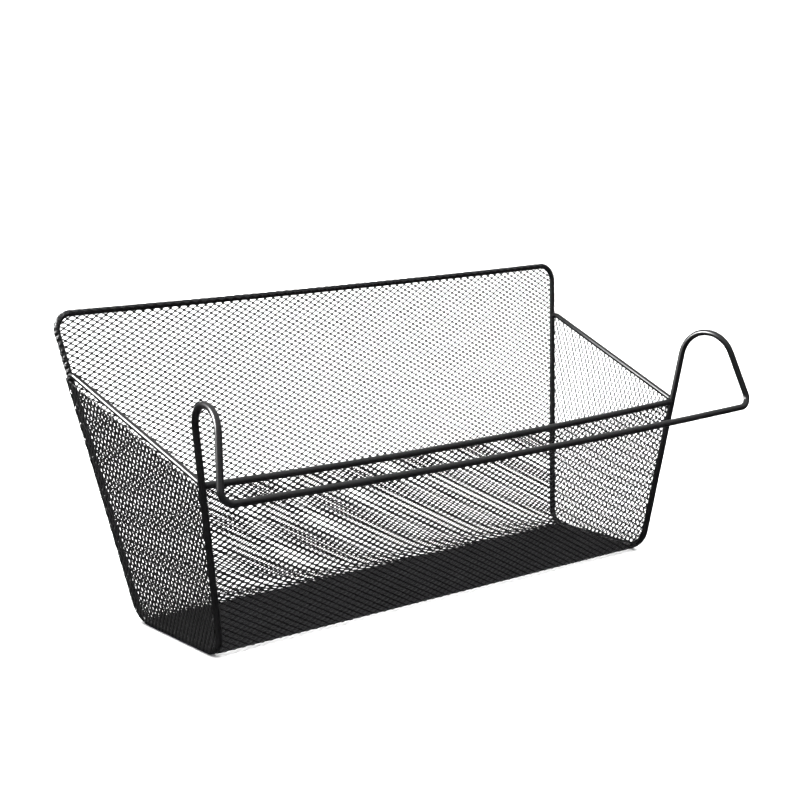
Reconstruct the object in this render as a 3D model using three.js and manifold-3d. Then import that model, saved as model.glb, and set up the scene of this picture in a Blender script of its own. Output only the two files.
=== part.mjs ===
// Hanging file rack: a flared basket of expanded-metal sheet in a bent wire frame, with two hooks
// joined by a bar on one side. Millimetres. X is the length, -Y the hook side, +Y the tall panel, +Z up.
// The dimensions below are measured from the base corner under the hooks, with Z from the wire's axis;
// the finished group is then moved so that its origin is at the middle of the bottom of its box.
import * as THREE from 'three';
import { mergeVertices } from 'three/addons/utils/BufferGeometryUtils.js';
import Module from 'manifold-3d';

const wasm = await Module();
wasm.setup();

// Stock
const FRAME_WIRE = 3.9;
const SIDE_RAIL_WIRE = 3.4;
const SHEET_THICKNESS = 1.0;
const GAP = 0.3;
const SHEET_STANDOFF = FRAME_WIRE / 2 + GAP + SHEET_THICKNESS / 2;

// Base, and how far each standing wire leans per millimetre of height
const BASE_HALF_LENGTH = 160.7;
const BASE_DEPTH = 80.5;
const HOOK_SIDE_FLARE = 0.1575;
const HOOK_SIDE_LEAN = -0.0867;
const TALL_SIDE_FLARE = 0.1725;
const TALL_SIDE_LEAN = 0.2097;

// Heights of wire axes above the base wires' axis
const TALL_PANEL_HEIGHT = 169.0;
const BACK_RAIL_HEIGHT = 95.1;
const SIDE_RAIL_LOW = 96.2;
const SIDE_RAIL_HIGH = 136.1;
const HOOK_HEIGHT = 140.5;

// Hooks and the bar between their free legs
const HOOK_REACH = 27.4;
const HOOK_SPLAY = 3.4;
const BAR_HALF_LENGTH = 195.1;
const BAR_Y = -54.5;
const BAR_HEIGHT = 97.5;

// The long wires hang a little lower at mid-length
const TOP_RIM_SAG = 1.0;
const BACK_RAIL_SAG = 3.0;
const BAR_SAG = 2.3;
const SAG_STEPS = 8;

// Bend radii, to the wire's axis
const BASE_HOOK_SIDE_BEND = 13;
const BASE_TALL_SIDE_BEND = 12;
const TOP_CORNER_BEND = 9;
const HOOK_BEND = 16.5;
const BAR_BEND = 6.5;
const SHEET_FOLD = 3;
const TOE_BEND = 4;
const TOE_LENGTH = 5;

// Welded ends stop short of the wire that they meet, and the low panel stops under the side rails
const RAIL_END_SETBACK = 2.6;
const SIDE_RAIL_END_SETBACK = 3.0;
const LOW_PANEL_DROP = 1.0;

// Facets
const WIRE_SIDES = 12;
const DEGREES_PER_FACET = 18;

const blackPowderCoat = () => new THREE.MeshStandardMaterial({
  color: 0x161617, roughness: 0.42, metalness: 0.35,
});
const coatedMesh = () => new THREE.MeshStandardMaterial({
  color: 0x121213, roughness: 0.5, metalness: 0.3,
});

const corner = (x, y, z, bend = 0) => ({ at: new THREE.Vector3(x, y, z), bend });
const mirrored = ({ at, bend }) => ({ at: new THREE.Vector3(-at.x, at.y, at.z), bend });

// Axis of the wire under each hook, and of the wire at each end of the tall panel, on the +X side.
const hookSide = (height) => new THREE.Vector3(
  BASE_HALF_LENGTH + HOOK_SIDE_FLARE * height, HOOK_SIDE_LEAN * height, height);
const tallSide = (height) => new THREE.Vector3(
  BASE_HALF_LENGTH + TALL_SIDE_FLARE * height, BASE_DEPTH + TALL_SIDE_LEAN * height, height);
const cornerAt = (point, bend = 0) => corner(point.x, point.y, point.z, bend);

// Points with tangents along straight runs joined by round bends, one bend at each corner.
function stationsAlong(corners, closed = false) {
  const count = corners.length;
  const stations = [];
  corners.forEach(({ at, bend }, i) => {
    const isEnd = !closed && (i === 0 || i === count - 1);
    const before = corners[(i + count - 1) % count].at;
    const after = corners[(i + 1) % count].at;
    const arriving = at.clone().sub(before).normalize();
    const leaving = after.clone().sub(at).normalize();
    if (isEnd) {
      stations.push({ point: at.clone(), tangent: i === 0 ? leaving : arriving });
      return;
    }
    if (bend === 0) {
      stations.push({ point: at.clone(), tangent: arriving.add(leaving).normalize() });
      return;
    }
    const turn = arriving.angleTo(leaving);
    const axis = arriving.clone().cross(leaving).normalize();
    const start = at.clone().addScaledVector(arriving, -bend * Math.tan(turn / 2));
    const centre = start.clone().addScaledVector(axis.clone().cross(arriving), bend);
    const steps = Math.max(2, Math.ceil(THREE.MathUtils.radToDeg(turn) / DEGREES_PER_FACET));
    for (let step = 0; step <= steps; step += 1) {
      const angle = (turn * step) / steps;
      stations.push({
        point: start.clone().sub(centre).applyAxisAngle(axis, angle).add(centre),
        tangent: arriving.clone().applyAxisAngle(axis, angle),
      });
    }
  });
  return stations;
}

// A curve whose evenly numbered samples are exactly the stations of a bent wire.
class StationCurve extends THREE.Curve {
  constructor(stations) {
    super();
    this.stations = stations;
  }

  getUtoTmapping(u) {
    return u;
  }

  getPoint(t) {
    return this.stations[Math.round(t * (this.stations.length - 1))].point.clone();
  }

  getTangent(t) {
    return this.stations[Math.round(t * (this.stations.length - 1))].tangent.clone();
  }
}

function wireGeometry(corners, diameter) {
  const stations = stationsAlong(corners);
  const section = [];
  for (let side = 0; side < WIRE_SIDES; side += 1) {
    const angle = (2 * Math.PI * (side + 0.5)) / WIRE_SIDES;
    section.push(new THREE.Vector2(Math.cos(angle), Math.sin(angle)).multiplyScalar(diameter / 2));
  }
  return new THREE.ExtrudeGeometry(new THREE.Shape(section), {
    steps: stations.length - 1,
    extrudePath: new StationCurve(stations),
  });
}

// Corners of a long wire at height, from +halfLength to -halfLength, lowest at mid-length.
function saggingRun(halfLength, y, height, sag) {
  const run = [];
  for (let step = 1; step < SAG_STEPS; step += 1) {
    const share = 1 - (2 * step) / SAG_STEPS;
    run.push(corner(halfLength * share, y, height - sag * (1 - share * share)));
  }
  return run;
}

function toManifold(geometry) {
  const bare = geometry.clone();
  bare.deleteAttribute('normal');
  bare.deleteAttribute('uv');
  const merged = mergeVertices(bare, 1e-4);
  return new wasm.Manifold(new wasm.Mesh({
    numProp: 3,
    vertProperties: merged.attributes.position.array,
    triVerts: new Uint32Array(merged.index.array),
  }));
}

function toGeometry(solid) {
  const { vertProperties, triVerts } = solid.getMesh();
  const geometry = new THREE.BufferGeometry();
  geometry.setAttribute('position', new THREE.BufferAttribute(vertProperties, 3));
  geometry.setIndex(new THREE.BufferAttribute(triVerts, 1));
  const facets = geometry.toNonIndexed();
  facets.computeVertexNormals();
  return facets;
}

// The rod that makes the bar, both hooks, both uprights and the hook-side half of each base wire.
function hookRodGeometry() {
  const halfWay = (BASE_DEPTH - GAP) / 2;
  const archStart = hookSide(HOOK_HEIGHT);
  const side = [
    corner(BASE_HALF_LENGTH, halfWay, 0),
    cornerAt(hookSide(0), BASE_HOOK_SIDE_BEND),
    cornerAt(archStart, HOOK_BEND),
    corner(archStart.x + HOOK_SPLAY, archStart.y - HOOK_REACH, HOOK_HEIGHT, HOOK_BEND),
    corner(BAR_HALF_LENGTH, BAR_Y, BAR_HEIGHT, BAR_BEND),
  ];
  const bar = saggingRun(BAR_HALF_LENGTH, BAR_Y, BAR_HEIGHT, BAR_SAG);
  return wireGeometry([...side, ...bar, ...side.map(mirrored).reverse()], FRAME_WIRE);
}

// The rod that makes the tall panel's rim and the other half of each base wire.
function rimRodGeometry() {
  const halfWay = (BASE_DEPTH + GAP) / 2;
  const top = tallSide(TALL_PANEL_HEIGHT);
  const side = [
    corner(BASE_HALF_LENGTH, halfWay, 0),
    cornerAt(tallSide(0), BASE_TALL_SIDE_BEND),
    cornerAt(top, TOP_CORNER_BEND),
  ];
  const rim = saggingRun(top.x, top.y, top.z, TOP_RIM_SAG);
  return wireGeometry([...side, ...rim, ...side.map(mirrored).reverse()], FRAME_WIRE);
}

// The straight rail butted between the uprights, level with the bar.
function backRailGeometry() {
  const end = hookSide(BACK_RAIL_HEIGHT);
  end.x -= RAIL_END_SETBACK;
  const run = saggingRun(end.x, end.y, end.z, BACK_RAIL_SAG);
  return wireGeometry([cornerAt(end), ...run, mirrored(cornerAt(end))], FRAME_WIRE);
}

// A slanted rail from an upright to the rim of the tall panel, its top end turned level.
function sideRailGeometry(side) {
  const low = hookSide(SIDE_RAIL_LOW);
  const high = tallSide(SIDE_RAIL_HIGH);
  const knee = high.clone();
  knee.y -= TOE_LENGTH;
  const slope = knee.clone().sub(low).normalize();
  low.addScaledVector(slope, SIDE_RAIL_END_SETBACK);
  high.y -= SIDE_RAIL_END_SETBACK;
  const corners = [cornerAt(low), cornerAt(knee, TOE_BEND), cornerAt(high)];
  return wireGeometry(side > 0 ? corners : corners.map(mirrored), SIDE_RAIL_WIRE);
}

// One sheet folded under the basket: low panel, floor and tall panel, with rounded top corners.
function foldedSheetGeometry() {
  const lowTop = hookSide(BACK_RAIL_HEIGHT - LOW_PANEL_DROP);
  const tallTop = tallSide(TALL_PANEL_HEIGHT);
  const inset = FRAME_WIRE / 2 + GAP;
  const foldLine = stationsAlong([
    corner(lowTop.y + SHEET_STANDOFF, lowTop.z, 0),
    corner(SHEET_STANDOFF, 0, 0, SHEET_FOLD),
    corner(BASE_DEPTH, 0, 0, BASE_TALL_SIDE_BEND),
    corner(tallTop.y, tallTop.z, 0),
  ]);
  const offset = (distance) => foldLine.map(({ point, tangent }) => new THREE.Vector2(
    point.x - tangent.y * distance, point.y + tangent.x * distance));
  const inner = offset(SHEET_THICKNESS / 2);
  const outer = offset(-SHEET_THICKNESS / 2).reverse();
  const halfLength = BAR_HALF_LENGTH;
  const profile = new THREE.ExtrudeGeometry(new THREE.Shape([...inner, ...outer]), {
    depth: 2 * halfLength,
    bevelEnabled: false,
  });
  // The profile is drawn in Y and Z and extruded along X.
  profile.applyMatrix4(new THREE.Matrix4().set(
    0, 0, 1, -halfLength,
    1, 0, 0, 0,
    0, 1, 0, 0,
    0, 0, 0, 1));

  const base = BASE_HALF_LENGTH - inset;
  const rimHeight = TALL_PANEL_HEIGHT - TOP_RIM_SAG - inset;
  const belowFloor = 2 * SHEET_THICKNESS;
  const rightHalf = [
    corner(base - TALL_SIDE_FLARE * belowFloor, -belowFloor, 0),
    corner(base + TALL_SIDE_FLARE * rimHeight, rimHeight, 0, TOP_CORNER_BEND),
  ];
  const outline = stationsAlong([...rightHalf, ...rightHalf.map(mirrored).reverse()], true);
  const depthSpan = 2 * BASE_DEPTH;
  const stencil = new THREE.ExtrudeGeometry(
    new THREE.Shape(outline.map(({ point }) => new THREE.Vector2(point.x, point.y))),
    { depth: 2 * depthSpan, bevelEnabled: false });
  // The outline is drawn in X and Z and extruded along -Y.
  stencil.applyMatrix4(new THREE.Matrix4().set(
    1, 0, 0, 0,
    0, 0, -1, depthSpan,
    0, 1, 0, 0,
    0, 0, 0, 1));
  return toGeometry(toManifold(profile).intersect(toManifold(stencil)));
}

// A flat side sheet, on the outside of the side wires from the base wire up to the slanted rail.
function sideSheetGeometry(side) {
  const slopeLength = Math.hypot(1, HOOK_SIDE_FLARE);
  const lowTop = hookSide(SIDE_RAIL_LOW);
  const highTop = tallSide(SIDE_RAIL_HIGH);
  const clearOfUpright = FRAME_WIRE / 2 + GAP;
  const outline = stationsAlong([
    corner(clearOfUpright, 0, 0, BASE_HOOK_SIDE_BEND),
    corner(BASE_DEPTH, 0, 0, BASE_TALL_SIDE_BEND),
    corner(highTop.y, highTop.z * slopeLength, 0),
    corner(lowTop.y + clearOfUpright, lowTop.z * slopeLength, 0),
  ], true);
  const plate = new THREE.ExtrudeGeometry(
    new THREE.Shape(outline.map(({ point }) => new THREE.Vector2(point.x, point.y))),
    { depth: SHEET_THICKNESS, bevelEnabled: false });
  const up = new THREE.Vector3(HOOK_SIDE_FLARE, 0, 1).normalize();
  const along = new THREE.Vector3(0, 1, 0);
  const outward = along.clone().cross(up);
  plate.applyMatrix4(new THREE.Matrix4().makeBasis(along, up, outward));
  const splay = (TALL_SIDE_FLARE - HOOK_SIDE_FLARE) * SIDE_RAIL_HIGH;
  const standoff = FRAME_WIRE / 2 + GAP + splay;
  const shift = outward.clone().multiplyScalar(standoff);
  plate.translate(BASE_HALF_LENGTH + shift.x, shift.y, shift.z);
  if (side < 0) {
    plate.scale(-1, 1, 1);
    return toGeometry(toManifold(flipWinding(plate)));
  }
  return plate;
}

function flipWinding(geometry) {
  const flipped = geometry.index ? geometry.toNonIndexed() : geometry.clone();
  const { array } = flipped.attributes.position;
  for (let i = 0; i < array.length; i += 9) {
    for (let axis = 0; axis < 3; axis += 1) {
      const swapped = array[i + 3 + axis];
      array[i + 3 + axis] = array[i + 6 + axis];
      array[i + 6 + axis] = swapped;
    }
  }
  return flipped;
}

const rack = new THREE.Group();
rack.name = 'hanging_file_rack';

function add(name, geometry, material) {
  const mesh = new THREE.Mesh(geometry, material);
  mesh.name = name;
  rack.add(mesh);
}

add('hook_rod', hookRodGeometry(), blackPowderCoat());
add('rim_rod', rimRodGeometry(), blackPowderCoat());
add('back_rail', backRailGeometry(), blackPowderCoat());
add('folded_sheet', foldedSheetGeometry(), coatedMesh());
for (const [name, side] of [['right', 1], ['left', -1]]) {
  add(`${name}_side_rail`, sideRailGeometry(side), blackPowderCoat());
  add(`${name}_side_sheet`, sideSheetGeometry(side), coatedMesh());
}

const box = new THREE.Box3().setFromObject(rack, true);
const middle = box.getCenter(new THREE.Vector3());
rack.position.set(-middle.x, -middle.y, -box.min.z);

export default rack;
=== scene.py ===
"""Hanging file rack: bent wire frame and expanded-metal sheets, black powder coat.

Shapes are worked out in rack millimetres: X along the rack, Y from the base corner under the
hooks, Z from the axis of the base wires. to_frame() moves them into the CAD frame, in metres.
"""
import math

import bpy
import numpy as np
from mathutils import Matrix, Vector


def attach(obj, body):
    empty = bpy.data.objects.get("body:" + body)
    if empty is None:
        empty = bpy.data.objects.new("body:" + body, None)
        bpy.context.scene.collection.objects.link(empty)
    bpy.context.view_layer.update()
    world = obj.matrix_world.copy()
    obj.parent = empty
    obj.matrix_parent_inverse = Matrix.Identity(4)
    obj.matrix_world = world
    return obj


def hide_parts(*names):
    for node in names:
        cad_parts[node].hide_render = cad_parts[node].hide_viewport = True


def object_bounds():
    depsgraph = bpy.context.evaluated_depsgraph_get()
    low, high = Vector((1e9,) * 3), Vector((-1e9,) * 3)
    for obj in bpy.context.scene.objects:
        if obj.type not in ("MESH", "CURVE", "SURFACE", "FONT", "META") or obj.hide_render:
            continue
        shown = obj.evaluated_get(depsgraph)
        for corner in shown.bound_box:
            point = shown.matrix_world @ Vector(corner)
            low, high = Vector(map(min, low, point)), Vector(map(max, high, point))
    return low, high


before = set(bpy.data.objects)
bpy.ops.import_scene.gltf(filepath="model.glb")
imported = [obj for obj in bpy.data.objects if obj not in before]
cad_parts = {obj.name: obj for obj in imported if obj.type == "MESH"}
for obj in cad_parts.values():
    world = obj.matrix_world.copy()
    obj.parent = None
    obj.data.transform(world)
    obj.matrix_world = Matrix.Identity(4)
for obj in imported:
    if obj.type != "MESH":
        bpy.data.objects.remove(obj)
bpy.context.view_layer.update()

# Metres per millimetre, and the CAD frame's origin in rack millimetres
MM = 0.001
ORIGIN = np.array([0.0, 30.734, -1.884])

# The wires' radii and runs. Flare is the lean along X and lean the lean along Y, per unit of height.
WIRE_R = 1.95
RIM_WIRE_R = 1.65
SIDE_RAIL_R = 1.7
BASE_HALF_LENGTH = 160.7
BASE_DEPTH = 80.5
HOOK_SIDE_FLARE, HOOK_SIDE_LEAN = 0.1575, -0.0867
TALL_SIDE_FLARE, TALL_SIDE_LEAN = 0.1725, 0.2097
TALL_PANEL_HEIGHT = 169.0
BACK_RAIL_HEIGHT = 95.1
SIDE_RAIL_LOW, SIDE_RAIL_HIGH = 96.2, 136.1
HOOK_HEIGHT, HOOK_REACH, HOOK_SPLAY = 140.5, 27.4, 3.4
BAR_HALF_LENGTH, BAR_Y, BAR_HEIGHT = 195.1, -54.5, 97.5
TOP_RIM_SAG, BACK_RAIL_SAG, BAR_SAG = 1.0, 3.0, 2.3
SAG_STEPS = 16

# Bend radii, and the slanted rails' toe where they meet the rim
BASE_HOOK_SIDE_BEND, BASE_TALL_SIDE_BEND = 13.0, 12.0
TOP_CORNER_BEND, HOOK_BEND, BAR_BEND = 9.0, 16.5, 6.5
TOE_BEND, TOE_LENGTH = 4.0, 5.0

# How finely a wire is built, and the low dome at its ends
DEGREES_PER_RING = 7.5
WIRE_SIDES = 20
DOME_STEPS = (0.55, 0.92, 1.0)
DOME_RISE = 0.175
DOME_TIP_R = 0.02

# Welds: how far a rail's end sinks in the wire it meets, and the bead's share of the rail's
# radius and its width
BACK_RAIL_SINK, BACK_RAIL_BEAD_SHARE, BACK_RAIL_BEAD_WIDTH = 0.2, 0.82, 0.9
SIDE_RAIL_SINK, SIDE_RAIL_BEAD_SHARE, SIDE_RAIL_BEAD_WIDTH = 0.1, 0.85, 0.8
BEAD_STEPS_AROUND, BEAD_STEPS_ACROSS = 24, 10
BEAD_RISE, BEAD_REACH = 0.45, 0.5
BEAD_UNEVENNESS = 0.15

# Directions that no wire runs along, from which the first face of a tube or bead is turned
TUBE_SEAM, BEAD_SEAM = (0.3, 0.5, 0.8), (0.2, 0.4, 0.9)

# Expanded metal: diamond pitch, strand section, the strands' tilt out of the sheet and the
# length of the bond where two strands meet. LEG_STEPS divides a strand between bonds near hems.
LONG_WAY, SHORT_WAY = 6.0, 3.4
STRAND_WIDTH, STRAND_THICKNESS = 0.78, 0.43
FOLDED_SHEET_TILT = math.radians(-22)
LEFT_SHEET_TILT, RIGHT_SHEET_TILT = math.radians(6), math.radians(26)
BOND_LENGTH = 1.2
LEG_STEPS = 3
SHORTEST_CUT = 0.05

# How the sheets sit on the wires. Standoff and hem radii run from a wire's axis to the middle
# of the sheet; HEM_TURN is how far a hem is rolled, in radians, and HEM_LENGTH what it takes.
NEAR_STANDOFF = 2.25
NEAR_EDGE = 0.3
SIDE_EDGE_INSET = 0.4
TOP_EDGE_INSET = 0.2
RAIL_REVEAL = 1.1
HEM_R = 1.85
OUTER_HEM_R = 2.0
PRESSED_FLAT = 0.4
HEM_TURN = 3.3
HEM_LENGTH = 6.2
SHEET_FOLD = 3.0

# Stretches of lattice that the sheets are cut from, and where their strands are divided finely
FOLDED_BLANK_ALONG = (-210, 210)
FOLDED_FINE_MARGIN = 6
SIDE_BLANK_UP, SIDE_BLANK_ACROSS = (-12, 150), (-12, 130)
SIDE_FINE_BELOW = 15
PROFILE_OVERRUN = 1.2
FARTHEST_SPREAD = 1.4

X_AXIS, Y_AXIS = np.array([1.0, 0, 0]), np.array([0, 1.0, 0])
TINY = 1e-6


# ---------------------------------------------------------------- vectors and runs of wire

def hook_side(height):
    """Axis of the wire that rises from the base to a hook, on the +X side."""
    return np.array([BASE_HALF_LENGTH + HOOK_SIDE_FLARE * height, HOOK_SIDE_LEAN * height, height])


def tall_side(height):
    """Axis of the wire at the +X end of the tall panel."""
    return np.array([BASE_HALF_LENGTH + TALL_SIDE_FLARE * height,
                     BASE_DEPTH + TALL_SIDE_LEAN * height, height])


def to_frame(points):
    return (np.asarray(points, float) - ORIGIN) * MM


def unit(v):
    return v / np.linalg.norm(v)


def rotate(v, axis, angle):
    return (v * math.cos(angle) + np.cross(axis, v) * math.sin(angle)
            + axis * np.dot(axis, v) * (1 - math.cos(angle)))


def stations_along(corners):
    """Points and tangents along straight runs joined by round bends; corners are (point, bend)."""
    points, tangents = [], []
    last = len(corners) - 1
    for i, (at, bend) in enumerate(corners):
        at = np.asarray(at, float)
        arriving = unit(at - corners[i - 1][0]) if i > 0 else None
        leaving = unit(corners[i + 1][0] - at) if i < last else None
        if arriving is None or leaving is None:
            points.append(at)
            tangents.append(leaving if arriving is None else arriving)
            continue
        if bend == 0:
            points.append(at)
            tangents.append(unit(arriving + leaving))
            continue
        turn = math.acos(np.clip(np.dot(arriving, leaving), -1, 1))
        axis = unit(np.cross(arriving, leaving))
        start = at - arriving * bend * math.tan(turn / 2)
        centre = start + np.cross(axis, arriving) * bend
        steps = max(2, math.ceil(math.degrees(turn) / DEGREES_PER_RING))
        for step in range(steps + 1):
            angle = turn * step / steps
            points.append(centre + rotate(start - centre, axis, angle))
            tangents.append(rotate(arriving, axis, angle))
    return np.array(points), np.array(tangents)


def mirrored(corners):
    return [(np.asarray(at) * [-1, 1, 1], bend) for at, bend in reversed(corners)]


def sagging_run(half_length, y, height, sag):
    """Corners between the two ends of a wire along X that sags in the middle."""
    run = []
    for step in range(1, SAG_STEPS):
        share = 1 - 2 * step / SAG_STEPS
        run.append((np.array([half_length * share, y, height - sag * (1 - share * share)]), 0))
    return run


# ---------------------------------------------------------------- pieces

class Builder:
    """Collects vertices and faces of one piece, in rack millimetres."""

    def __init__(self):
        self.vertices, self.faces, self.count = [], [], 0

    def add(self, vertices, faces):
        self.vertices.append(np.asarray(vertices, float))
        self.faces.extend([tuple(int(i) + self.count for i in face) for face in faces])
        self.count += len(vertices)

    def tube(self, points, tangents, radius):
        """A round wire with slightly domed ends, each with a ring close by to hold the shading."""
        near_end = points[0] + tangents[0] * radius / 2
        far_end = points[-1] - tangents[-1] * radius / 2
        points = [points[0], near_end, *points[1:-1], far_end, points[-1]]
        tangents = [tangents[0], *tangents, tangents[-1]]
        radii = [radius] * len(points)
        for share in DOME_STEPS:
            rise = radius * DOME_RISE * share
            shrink = radius * math.sqrt(max(0.0, 1 - share ** 2)) + DOME_TIP_R
            points = [points[0] - tangents[0] * rise, *points, points[-1] + tangents[-1] * rise]
            tangents = [tangents[0], *tangents, tangents[-1]]
            radii = [shrink, *radii, shrink]
        normal = unit(np.cross(tangents[0], TUBE_SEAM))
        angles = np.linspace(0, 2 * math.pi, WIRE_SIDES, endpoint=False)
        rings = []
        for point, tangent, r in zip(points, tangents, radii):
            normal = unit(normal - tangent * np.dot(normal, tangent))
            binormal = np.cross(tangent, normal)
            rings.append(point + r * (np.outer(np.cos(angles), normal)
                                      + np.outer(np.sin(angles), binormal)))
        faces = []
        for i in range(len(rings) - 1):
            for j in range(WIRE_SIDES):
                k = (j + 1) % WIRE_SIDES
                faces.append((i * WIRE_SIDES + j, i * WIRE_SIDES + k,
                              (i + 1) * WIRE_SIDES + k, (i + 1) * WIRE_SIDES + j))
        last = (len(rings) - 1) * WIRE_SIDES
        faces.append(tuple(reversed(range(WIRE_SIDES))))
        faces.append(tuple(range(last, last + WIRE_SIDES)))
        self.add(np.concatenate(rings), faces)

    def bead(self, centre, axis, radius, width, rng):
        """An uneven weld bead round a wire end: a closed ring-shaped swelling."""
        axis = unit(axis)
        side = unit(np.cross(axis, BEAD_SEAM))
        other = np.cross(axis, side)
        around, across = BEAD_STEPS_AROUND, BEAD_STEPS_ACROSS
        wobble = rng.uniform(1 - BEAD_UNEVENNESS, 1 + BEAD_UNEVENNESS, around)
        vertices, faces = [], []
        for i in range(around):
            angle = 2 * math.pi * i / around
            out = math.cos(angle) * side + math.sin(angle) * other
            swell = width * wobble[i] * (wobble[i - 1] + 1) / 2
            for j in range(across):
                turn = 2 * math.pi * j / across
                vertices.append(centre + out * (radius + BEAD_RISE * swell * math.cos(turn))
                                + axis * BEAD_REACH * swell * math.sin(turn))
                i_next, j_next = (i + 1) % around, (j + 1) % across
                faces.append((i * across + j, i_next * across + j,
                              i_next * across + j_next, i * across + j_next))
        self.add(vertices, faces)

    def finish(self, name, node):
        mesh = bpy.data.meshes.new(name)
        mesh.from_pydata(to_frame(np.concatenate(self.vertices)).tolist(), [], self.faces)
        place(name, mesh, wire_coat, node)


def place(name, mesh, material, node):
    """Puts a finished mesh in the scene as the looks of one CAD node."""
    mesh.materials.append(material)
    mesh.shade_smooth()
    piece = bpy.data.objects.new(name, mesh)
    bpy.context.scene.collection.objects.link(piece)
    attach(piece, "root")
    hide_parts(node)


# ---------------------------------------------------------------- expanded metal

def lattice(along, across, is_fine, tilt):
    """Strand stations of expanded metal over two ranges, as (row, station) grids.

    Each strand zigzags along the diamonds' long way and touches its two neighbours by turns.
    Returns each station's place along and across the sheet, and its height out of the sheet.
    """
    half_pitch = LONG_WAY / 2
    rows = np.arange(*np.round(np.array(across) / (SHORT_WAY / 2)).astype(int))
    bonds = np.arange(*np.round(np.array(along) / half_pitch).astype(int))
    sign = np.where(bonds % 2 == 0, 1.0, -1.0)
    knots = (bonds[:, None] * half_pitch + [-BOND_LENGTH / 2, BOND_LENGTH / 2]).ravel()
    leg = (half_pitch - BOND_LENGTH) * np.arange(1, LEG_STEPS) / LEG_STEPS + BOND_LENGTH / 2
    between = bonds[is_fine(bonds * half_pitch)][:, None] * half_pitch + leg
    stations = np.sort(np.concatenate([knots, between.ravel()]))
    wave = np.interp(stations, knots, np.repeat(sign, 2))
    wave = wave * np.where(rows % 2 == 0, 1.0, -1.0)[:, None]
    sway = SHORT_WAY / 4 - STRAND_WIDTH * math.cos(tilt) / 2
    u = np.broadcast_to(stations, wave.shape).copy()
    v = rows[:, None] * SHORT_WAY / 2 + wave * sway
    n = -wave * STRAND_WIDTH * math.sin(tilt) / 2
    return u, v, n


def cut(grids, inside):
    """Moves the stations just past the sheet's edge back onto it, as shears would cut them."""
    moved = [grid.copy() for grid in grids]
    for here, there in ((np.s_[:, :-1], np.s_[:, 1:]), (np.s_[:, 1:], np.s_[:, :-1])):
        crossing = (inside[here] <= 0) & (inside[there] > 0)
        share = inside[there] / np.where(crossing, inside[there] - inside[here], 1.0)
        share = np.clip(share, SHORTEST_CUT, 1.0)
        for grid, result in zip(grids, moved):
            on_edge = grid[there] + (grid[here] - grid[there]) * share
            result[here] = np.where(crossing, on_edge, result[here])
    return moved


def strand_faces(inside):
    """Four-sided tubes with end caps along every strand, over the corners of its stations."""
    index = np.arange(inside.size * 4).reshape(*inside.shape, 4)
    joined = (inside[:, :-1] > 0) | (inside[:, 1:] > 0)
    a, b = index[:, :-1][joined], index[:, 1:][joined]
    sides = [np.stack([a[:, i], b[:, i], b[:, (i + 1) % 4], a[:, (i + 1) % 4]], axis=1)
             for i in range(4)]
    before, after = np.zeros((2, *inside.shape), bool)
    before[:, 1:] = joined
    after[:, :-1] = joined
    return np.concatenate([*sides, index[after & ~before], index[before & ~after][:, ::-1]])


def strand_mesh(name, along, across, is_fine, inside_of, fold, tilt):
    """Mesh of every strand inside a sheet. inside_of gives the distance to the sheet's edge at
    (along, across), and fold maps (along, across, height) to rack points."""
    u, v, n = lattice(along, across, is_fine, tilt)
    inside = inside_of(u, v)
    u, v, n = cut((u, v, n), inside)
    width = np.array([math.cos(tilt), math.sin(tilt)]) * STRAND_WIDTH / 2
    depth = np.array([-math.sin(tilt), math.cos(tilt)]) * STRAND_THICKNESS / 2
    offsets = [width + depth, depth - width, -width - depth, width - depth]
    corners = np.stack([fold(u, v + dv, n + dn) for dv, dn in offsets], axis=2)
    used, quads = np.unique(strand_faces(inside), return_inverse=True)
    points = to_frame(corners.reshape(-1, 3)[used])
    mesh = bpy.data.meshes.new(name)
    mesh.vertices.add(len(points))
    mesh.vertices.foreach_set("co", points.ravel())
    mesh.loops.add(quads.size)
    mesh.loops.foreach_set("vertex_index", quads.ravel().astype(np.int32))
    mesh.polygons.add(quads.size // 4)
    mesh.polygons.foreach_set("loop_start", np.arange(0, quads.size, 4, dtype=np.int32))
    mesh.update(calc_edges=True)
    return mesh


def wrap(inside, height, radius):
    """Rolls sheet that runs past a wire's axis round the wire, pressed flat against it.

    inside is the distance left to the wire's axis, height the strand's own height. Returns the
    distance from the axis towards the sheet and the height over the plane of the wires.
    """
    angle = np.clip(-inside / radius, 0, HEM_TURN)
    rest = np.maximum(-inside - radius * HEM_TURN, 0)
    r = radius + height * (1 - (1 - PRESSED_FLAT) * np.clip(-inside / radius, 0, 1))
    towards = np.where(inside > 0, inside, -r * np.sin(angle) - rest * np.cos(angle))
    over = r * np.cos(angle) - rest * np.sin(angle)
    return towards, over


def outline_distance(a, b, edges, bends):
    """An outline's outward normal near points of a plane, and how far inside it they lie.

    edges are (point, outward normal) in order, and bends the radius between each edge and the
    next.
    """
    inside = np.full(a.shape, np.inf)
    nx, ny = np.zeros(a.shape), np.zeros(a.shape)
    for point, normal in edges:
        distance = (point[0] - a) * normal[0] + (point[1] - b) * normal[1]
        nearer = distance < inside
        inside = np.where(nearer, distance, inside)
        nx, ny = np.where(nearer, normal[0], nx), np.where(nearer, normal[1], ny)
    for (point_1, n1), (point_2, n2), bend in zip(edges, edges[1:], bends):
        corner = np.linalg.solve([n1, n2], [np.dot(point_1, n1), np.dot(point_2, n2)])
        centre = corner - bend * (n1 + n2) / (1 + np.dot(n1, n2))
        qx, qy = a - centre[0], b - centre[1]
        way = np.sign(n1[0] * n2[1] - n1[1] * n2[0])
        rounded = (way * (n1[0] * qy - n1[1] * qx) > 0) & (way * (qx * n2[1] - qy * n2[0]) > 0)
        reach = np.maximum(np.hypot(qx, qy), TINY)
        inside = np.where(rounded, bend - reach, inside)
        nx, ny = np.where(rounded, qx / reach, nx), np.where(rounded, qy / reach, ny)
    return nx, ny, inside


# ---------------------------------------------------------------- folded sheet

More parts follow.
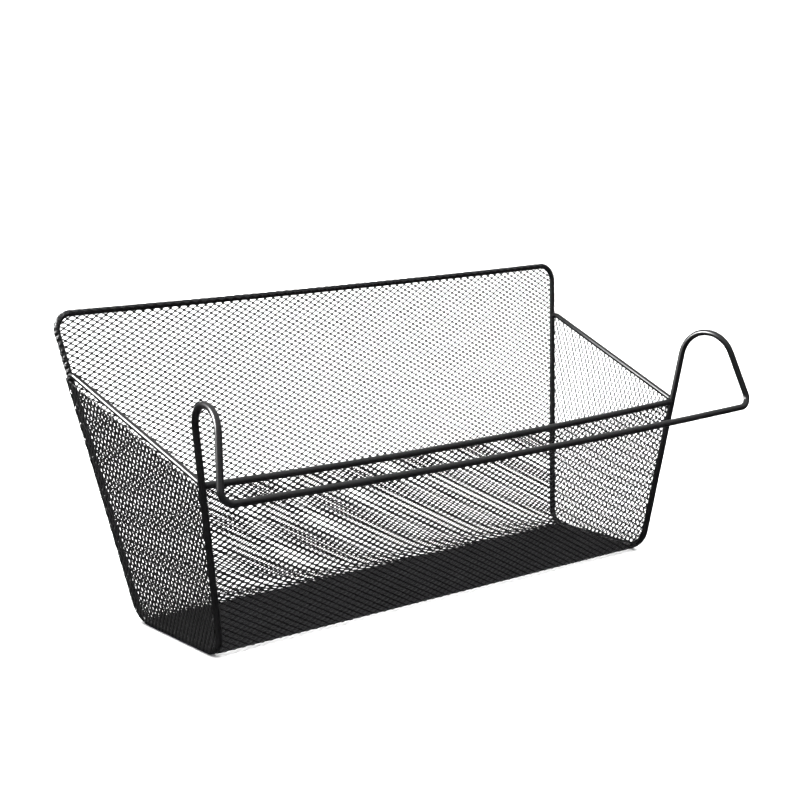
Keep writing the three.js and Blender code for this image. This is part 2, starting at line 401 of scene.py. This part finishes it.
TALL_SLOPE = math.hypot(1, TALL_SIDE_LEAN)
TALL_UP = np.array([0, TALL_SIDE_LEAN, 1]) / TALL_SLOPE
TALL_OUT = np.array([0, 1, -TALL_SIDE_LEAN]) / TALL_SLOPE
TALL_TOP = TALL_PANEL_HEIGHT * TALL_SLOPE
TALL_TOP_HALF = tall_side(TALL_PANEL_HEIGHT)[0]
TALL_CORNER = np.array([TALL_TOP_HALF, TALL_TOP])
TALL_RIM = [(TALL_CORNER, unit(np.array([1.0, -TALL_SIDE_FLARE / TALL_SLOPE]))),
            (TALL_CORNER, np.array([0, 1.0]))]


def tall_rim(a, b):
    """outline_distance for the tall panel, with the rim's sag, on the +X half."""
    sag = TOP_RIM_SAG * (1 - np.minimum(np.abs(a) / TALL_TOP_HALF, 1) ** 2)
    return outline_distance(np.abs(a), b + sag, TALL_RIM, [TOP_CORNER_BEND])


def folded_profile():
    """Points and tangents of the folded sheet's middle line in the Y-Z plane, with its length."""
    low = hook_side(BACK_RAIL_HEIGHT)
    foot = BASE_DEPTH + HEM_R * TALL_SLOPE
    top = np.array([0, foot, 0]) + TALL_UP * TALL_TOP * PROFILE_OVERRUN
    points, tangents = stations_along([
        (np.array([0, low[1] + NEAR_STANDOFF, low[2]]), 0),
        (np.array([0, NEAR_STANDOFF, 0.0]), SHEET_FOLD),
        (np.array([0, foot, 0.0]), BASE_TALL_SIDE_BEND),
        (top, 0),
    ])
    steps = np.linalg.norm(np.diff(points, axis=0), axis=1)
    return points, tangents, np.concatenate([[0], np.cumsum(steps)])


PROFILE, PROFILE_TANGENT, PROFILE_LENGTH = folded_profile()
TALL_START = PROFILE_LENGTH[-2]
TALL_START_RISE = float(np.dot(PROFILE[-2] - Y_AXIS * BASE_DEPTH, TALL_UP))


def fold_sheet(u, v, n):
    """Folded sheet: v runs down the low panel, along the floor and up the tall panel."""
    y, z, ty, tz = (np.interp(v, PROFILE_LENGTH, grid) for grid in (
        PROFILE[:, 1], PROFILE[:, 2], PROFILE_TANGENT[:, 1], PROFILE_TANGENT[:, 2]))
    scale = np.hypot(ty, tz)
    sag = BACK_RAIL_SAG * (1 - (u / BASE_HALF_LENGTH) ** 2) * np.clip(z / BACK_RAIL_HEIGHT, 0, 1)
    low_panel_sag = np.where(v < PROFILE_LENGTH[1], sag, 0)
    flat = np.stack([u, y + n * tz / scale, z - n * ty / scale - low_panel_sag], axis=-1)
    b = v - TALL_START + TALL_START_RISE
    nx, ny, inside = tall_rim(u, b)
    towards, over = wrap(inside, n, HEM_R)
    a = np.sign(u) * (np.abs(u) + nx * (inside - towards))
    up = b + ny * (inside - towards)
    tall = (X_AXIS * a[..., None] + TALL_UP * up[..., None]
            + TALL_OUT * over[..., None] + Y_AXIS * BASE_DEPTH)
    return np.where((v > TALL_START)[..., None], tall, flat)


def inside_folded(u, v):
    """Distance to the folded sheet's edge. Only the tall panel runs on into a hem."""
    z = np.interp(v, PROFILE_LENGTH, PROFILE[:, 2])
    side_edge = BASE_HALF_LENGTH + HOOK_SIDE_FLARE * z - SIDE_EDGE_INSET - np.abs(u)
    b = v - TALL_START + TALL_START_RISE
    hem_edge = tall_rim(u, b)[-1] + HEM_LENGTH
    hem_start = TALL_START + SHORT_WAY / 2
    return np.minimum(np.where(v > hem_start, hem_edge, side_edge), v - TOP_EDGE_INSET)


def add_folded_sheet():
    name = "folded_expanded_metal"
    mesh = strand_mesh(name, FOLDED_BLANK_ALONG, (0, PROFILE_LENGTH[-1]),
                       lambda u: np.abs(u) > BASE_HALF_LENGTH - FOLDED_FINE_MARGIN,
                       inside_folded, fold_sheet, FOLDED_SHEET_TILT)
    place(name, mesh, mesh_coat, "folded_sheet")


# ---------------------------------------------------------------- side sheets

def add_side_sheet(hand, side, tilt):
    """Expanded metal with its long way upright, rolled round the base wire and the rim wire."""
    slope = math.hypot(1, HOOK_SIDE_FLARE)
    up = np.array([HOOK_SIDE_FLARE, 0, 1]) / slope
    out = np.array([1, 0, -HOOK_SIDE_FLARE]) / slope
    low, high = hook_side(SIDE_RAIL_LOW), tall_side(SIDE_RAIL_HIGH)
    rail_line = unit(np.array([high[1] - low[1], (high[2] - low[2]) * slope]))
    rail = [(np.array([low[1], low[2] * slope - RAIL_REVEAL]),
             np.array([-rail_line[1], rail_line[0]]))]
    near = (np.array([NEAR_EDGE, 0.0]), unit(np.array([-1.0, HOOK_SIDE_LEAN / slope])))
    floor_edge = (np.zeros(2), np.array([0, -1.0]))
    rim = (np.array([BASE_DEPTH, 0.0]), unit(np.array([1.0, -TALL_SIDE_LEAN / slope])))
    hemmed = [near, floor_edge, rim]
    bends = [BASE_HOOK_SIDE_BEND, BASE_TALL_SIDE_BEND]

    def fold(b, a, n):
        nx, ny, inside = outline_distance(a, b, hemmed, bends)
        towards, over = wrap(inside, n, OUTER_HEM_R)
        a2 = a + nx * (inside - towards)
        b2 = b + ny * (inside - towards)
        point = (X_AXIS * BASE_HALF_LENGTH + Y_AXIS * a2[..., None]
                 + up * b2[..., None] + out * over[..., None])
        spread = (TALL_SIDE_FLARE - HOOK_SIDE_FLARE) * np.clip(b2, 0, None)
        point[..., 0] += spread * np.clip(a2 / BASE_DEPTH, 0, FARTHEST_SPREAD)
        return point * [side, 1, 1]

    def inside_of(b, a):
        hem_edge = outline_distance(a, b, hemmed, bends)[-1] + HEM_LENGTH
        cut_edge = outline_distance(a, b, [near], [])[-1]
        rail_edge = outline_distance(a, b, rail, [])[-1]
        return np.minimum(np.minimum(hem_edge, cut_edge), rail_edge)

    name = f"{hand}_side_expanded_metal"
    mesh = strand_mesh(name, SIDE_BLANK_UP, SIDE_BLANK_ACROSS, lambda u: u < SIDE_FINE_BELOW,
                       inside_of, fold, tilt)
    place(name, mesh, mesh_coat, f"{hand}_side_sheet")


# ---------------------------------------------------------------- wires

def add_hook_rod():
    """The bar, both hooks, both uprights and the near half of each base wire, in one rod."""
    corners = [
        (np.array([BASE_HALF_LENGTH, BASE_DEPTH / 2, 0]), 0),
        (hook_side(0), BASE_HOOK_SIDE_BEND),
        (hook_side(HOOK_HEIGHT), HOOK_BEND),
        (hook_side(HOOK_HEIGHT) + [HOOK_SPLAY, -HOOK_REACH, 0], HOOK_BEND),
        (np.array([BAR_HALF_LENGTH, BAR_Y, BAR_HEIGHT]), BAR_BEND),
    ]
    bar = sagging_run(BAR_HALF_LENGTH, BAR_Y, BAR_HEIGHT, BAR_SAG)
    rod = Builder()
    rod.tube(*stations_along(corners + bar + mirrored(corners)), WIRE_R)
    rod.finish("bent_hook_rod", "hook_rod")


def add_rim_rod():
    """The tall panel's rim and the far half of each base wire, in one rod."""
    top = tall_side(TALL_PANEL_HEIGHT)
    corners = [
        (np.array([BASE_HALF_LENGTH, BASE_DEPTH / 2, 0]), 0),
        (tall_side(0), BASE_TALL_SIDE_BEND),
        (top, TOP_CORNER_BEND),
    ]
    rod = Builder()
    rod.tube(*stations_along(corners + sagging_run(*top, TOP_RIM_SAG) + mirrored(corners)),
             RIM_WIRE_R)
    rod.finish("bent_rim_rod", "rim_rod")


def add_back_rail(rng):
    """The rail that sags between the uprights, at the top of the low panel."""
    end = hook_side(BACK_RAIL_HEIGHT) - X_AXIS * (WIRE_R - BACK_RAIL_SINK)
    run = [(end, 0)] + sagging_run(*end, BACK_RAIL_SAG)
    rail = Builder()
    rail.tube(*stations_along(run + mirrored(run[:1])), WIRE_R)
    for side in (1, -1):
        rail.bead(end * [side, 1, 1], X_AXIS, WIRE_R * BACK_RAIL_BEAD_SHARE,
                  BACK_RAIL_BEAD_WIDTH, rng)
    rail.finish("back_cross_rail", "back_rail")


def add_side_rail(hand, side, rng):
    """A slanted rail from an upright to the rim, with a short level toe at the rim."""
    low, high = hook_side(SIDE_RAIL_LOW), tall_side(SIDE_RAIL_HIGH)
    knee = high - Y_AXIS * TOE_LENGTH
    slope = unit(knee - low)
    start = low + slope * (WIRE_R - SIDE_RAIL_SINK)
    end = high - Y_AXIS * (WIRE_R - SIDE_RAIL_SINK)
    flip = np.array([side, 1, 1])
    bead = SIDE_RAIL_R * SIDE_RAIL_BEAD_SHARE, SIDE_RAIL_BEAD_WIDTH, rng
    rail = Builder()
    rail.tube(*stations_along([(start * flip, 0), (knee * flip, TOE_BEND), (end * flip, 0)]),
              SIDE_RAIL_R)
    rail.bead(start * flip, slope * flip, *bead)
    rail.bead(end * flip, Y_AXIS, *bead)
    rail.finish(f"{hand}_slanted_rail", f"{hand}_side_rail")


# ---------------------------------------------------------------- materials

CLOUD_SCALE, CLOUD_DETAIL = 60, 4
CLOUD_DARKEST, CLOUD_LIGHTEST = 0.7, 1.35
CLOUD_FROM, CLOUD_TO = 0.3, 0.72
PEEL_DETAIL = 3
PEEL_DEPTH = 0.0001
GLOSS_BELOW, GLOSS_ABOVE = 0.07, 0.09


def coat(name, colour, specular, roughness, bump, grain):
    """Black powder coat: fine orange peel, faint cloudiness in colour and gloss."""
    material = bpy.data.materials.new(name)
    material.use_nodes = True
    nodes, links = material.node_tree.nodes, material.node_tree.links
    shader = nodes["Principled BSDF"]
    shader.inputs["Specular IOR Level"].default_value = specular
    place_at = nodes.new("ShaderNodeTexCoord")

    cloud = nodes.new("ShaderNodeTexNoise")
    cloud.inputs["Scale"].default_value = CLOUD_SCALE
    cloud.inputs["Detail"].default_value = CLOUD_DETAIL
    links.new(place_at.outputs["Object"], cloud.inputs["Vector"])
    tint = nodes.new("ShaderNodeValToRGB")
    darkest, lightest = tint.color_ramp.elements
    darkest.position, lightest.position = CLOUD_FROM, CLOUD_TO
    darkest.color = (*[c * CLOUD_DARKEST for c in colour], 1)
    lightest.color = (*[c * CLOUD_LIGHTEST for c in colour], 1)
    links.new(cloud.outputs["Fac"], tint.inputs["Fac"])
    links.new(tint.outputs["Color"], shader.inputs["Base Color"])

    peel = nodes.new("ShaderNodeTexNoise")
    peel.inputs["Scale"].default_value = grain
    peel.inputs["Detail"].default_value = PEEL_DETAIL
    links.new(place_at.outputs["Object"], peel.inputs["Vector"])
    gloss = nodes.new("ShaderNodeMapRange")
    gloss.inputs["To Min"].default_value = roughness - GLOSS_BELOW
    gloss.inputs["To Max"].default_value = roughness + GLOSS_ABOVE
    links.new(peel.outputs["Fac"], gloss.inputs["Value"])
    links.new(gloss.outputs["Result"], shader.inputs["Roughness"])
    relief = nodes.new("ShaderNodeBump")
    relief.inputs["Strength"].default_value = bump
    relief.inputs["Distance"].default_value = PEEL_DEPTH
    links.new(peel.outputs["Fac"], relief.inputs["Height"])
    links.new(relief.outputs["Normal"], shader.inputs["Normal"])
    return material


wire_coat = coat("wire_powder_coat", colour=(0.0038, 0.0038, 0.0042), specular=0.42,
                 roughness=0.3, bump=0.25, grain=1800)
mesh_coat = coat("mesh_powder_coat", colour=(0.0045, 0.0045, 0.005), specular=0.5,
                 roughness=0.4, bump=0.3, grain=2400)

# ---------------------------------------------------------------- camera

CAMERA_AZIMUTH, CAMERA_ELEVATION, CAMERA_ROLL = -39.56, 11.18, 0.2
CAMERA_AT = np.array([-627.61, -711.23, 303.66])
LENS, SENSOR_WIDTH = 76.56, 36.0
CLIP_START, CLIP_END = 0.05, 50


def add_camera():
    camera = bpy.data.objects.new("camera", bpy.data.cameras.new("camera"))
    bpy.context.scene.collection.objects.link(camera)
    camera.data.sensor_width = SENSOR_WIDTH
    camera.data.lens = LENS
    camera.data.clip_start, camera.data.clip_end = CLIP_START, CLIP_END
    az, el = math.radians(CAMERA_AZIMUTH), math.radians(CAMERA_ELEVATION)
    ahead = Vector((-math.sin(az) * math.cos(el), math.cos(az) * math.cos(el), -math.sin(el)))
    camera.matrix_world = (Matrix.Translation(to_frame(CAMERA_AT))
                           @ ahead.to_track_quat("-Z", "Y").to_matrix().to_4x4()
                           @ Matrix.Rotation(math.radians(CAMERA_ROLL), 4, "Z"))
    bpy.context.scene.camera = camera


# ---------------------------------------------------------------- light

def add_softbox(name, at, aim, width, height, power):
    """A lamp that shows only as a highlight on the coat."""
    light = bpy.data.lights.new(name, "AREA")
    light.shape = "RECTANGLE"
    light.size, light.size_y = width, height
    light.energy = power
    lamp = bpy.data.objects.new(name, light)
    lamp.location = at
    lamp.visible_camera = False
    lamp.visible_diffuse = False
    lamp.rotation_mode = "QUATERNION"
    lamp.rotation_quaternion = (Vector(aim) - Vector(at)).to_track_quat("-Z", "Y")
    bpy.context.scene.collection.objects.link(lamp)


def add_daylight(strength, spread):
    """A broad sun straight above, which lights the floor and shows in no highlight."""
    light = bpy.data.lights.new("overhead", "SUN")
    light.energy = strength
    light.angle = math.radians(spread)
    overhead = bpy.data.objects.new("overhead", light)
    overhead.visible_glossy = False
    bpy.context.scene.collection.objects.link(overhead)


def add_surroundings(paper, horizon, ceiling, ceiling_from):
    """White paper in the picture, and in reflections a dim room that brightens upwards."""
    world = bpy.data.worlds.new("studio")
    world.use_nodes = True
    nodes, links = world.node_tree.nodes, world.node_tree.links
    upward = nodes.new("ShaderNodeSeparateXYZ")
    links.new(nodes.new("ShaderNodeTexCoord").outputs["Generated"], upward.inputs["Vector"])
    room = nodes.new("ShaderNodeMapRange")
    room.inputs["From Min"].default_value = ceiling_from
    room.inputs["To Min"].default_value = horizon
    room.inputs["To Max"].default_value = ceiling
    links.new(upward.outputs["Z"], room.inputs["Value"])
    paper_or_room = nodes.new("ShaderNodeMapRange")
    paper_or_room.inputs["To Max"].default_value = paper
    links.new(room.outputs["Result"], paper_or_room.inputs["To Min"])
    in_picture = nodes.new("ShaderNodeLightPath").outputs["Is Camera Ray"]
    links.new(in_picture, paper_or_room.inputs["Value"])
    links.new(paper_or_room.outputs["Result"], nodes["Background"].inputs["Strength"])
    nodes["Background"].inputs["Color"].default_value = (1, 1, 1, 1)
    bpy.context.scene.world = world


# ---------------------------------------------------------------- floor

FLOOR_HALF = 40.0
FLOOR_GAP = 0.0001
FLOOR_WHITE, FLOOR_ROUGHNESS, FLOOR_SPECULAR = 0.93, 0.9, 0.1


def add_floor():
    """White paper just under the rack, too large for its edge to show."""
    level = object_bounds()[0][2] - FLOOR_GAP
    mesh = bpy.data.meshes.new("floor")
    mesh.from_pydata([(x * FLOOR_HALF, y * FLOOR_HALF, level)
                      for x, y in ((-1, -1), (1, -1), (1, 1), (-1, 1))], [], [(0, 1, 2, 3)])
    floor = bpy.data.objects.new("floor", mesh)
    bpy.context.scene.collection.objects.link(floor)
    paper = bpy.data.materials.new("pale_floor")
    paper.use_nodes = True
    surface = paper.node_tree.nodes["Principled BSDF"].inputs
    surface["Base Color"].default_value = (FLOOR_WHITE, FLOOR_WHITE, FLOOR_WHITE, 1)
    surface["Roughness"].default_value = FLOOR_ROUGHNESS
    surface["Specular IOR Level"].default_value = FLOOR_SPECULAR
    mesh.materials.append(paper)
    floor.visible_glossy = False


# ---------------------------------------------------------------- the scene

add_camera()
add_softbox("rail_glint", at=(-1.16, 0.76, 0.78), aim=(-0.18, 0.05, 0.1),
            width=0.5, height=0.55, power=110)
add_daylight(strength=7.5, spread=75)
add_surroundings(paper=1.35, horizon=0.035, ceiling=1.4, ceiling_from=0.1)
bpy.context.scene.view_settings.view_transform = "Standard"

weld_shapes = np.random.default_rng(7)
add_hook_rod()
add_rim_rod()
add_back_rail(weld_shapes)
add_side_rail("right", 1, weld_shapes)
add_side_rail("left", -1, weld_shapes)
add_folded_sheet()
add_side_sheet("right", 1, RIGHT_SHEET_TILT)
add_side_sheet("left", -1, LEFT_SHEET_TILT)
add_floor()
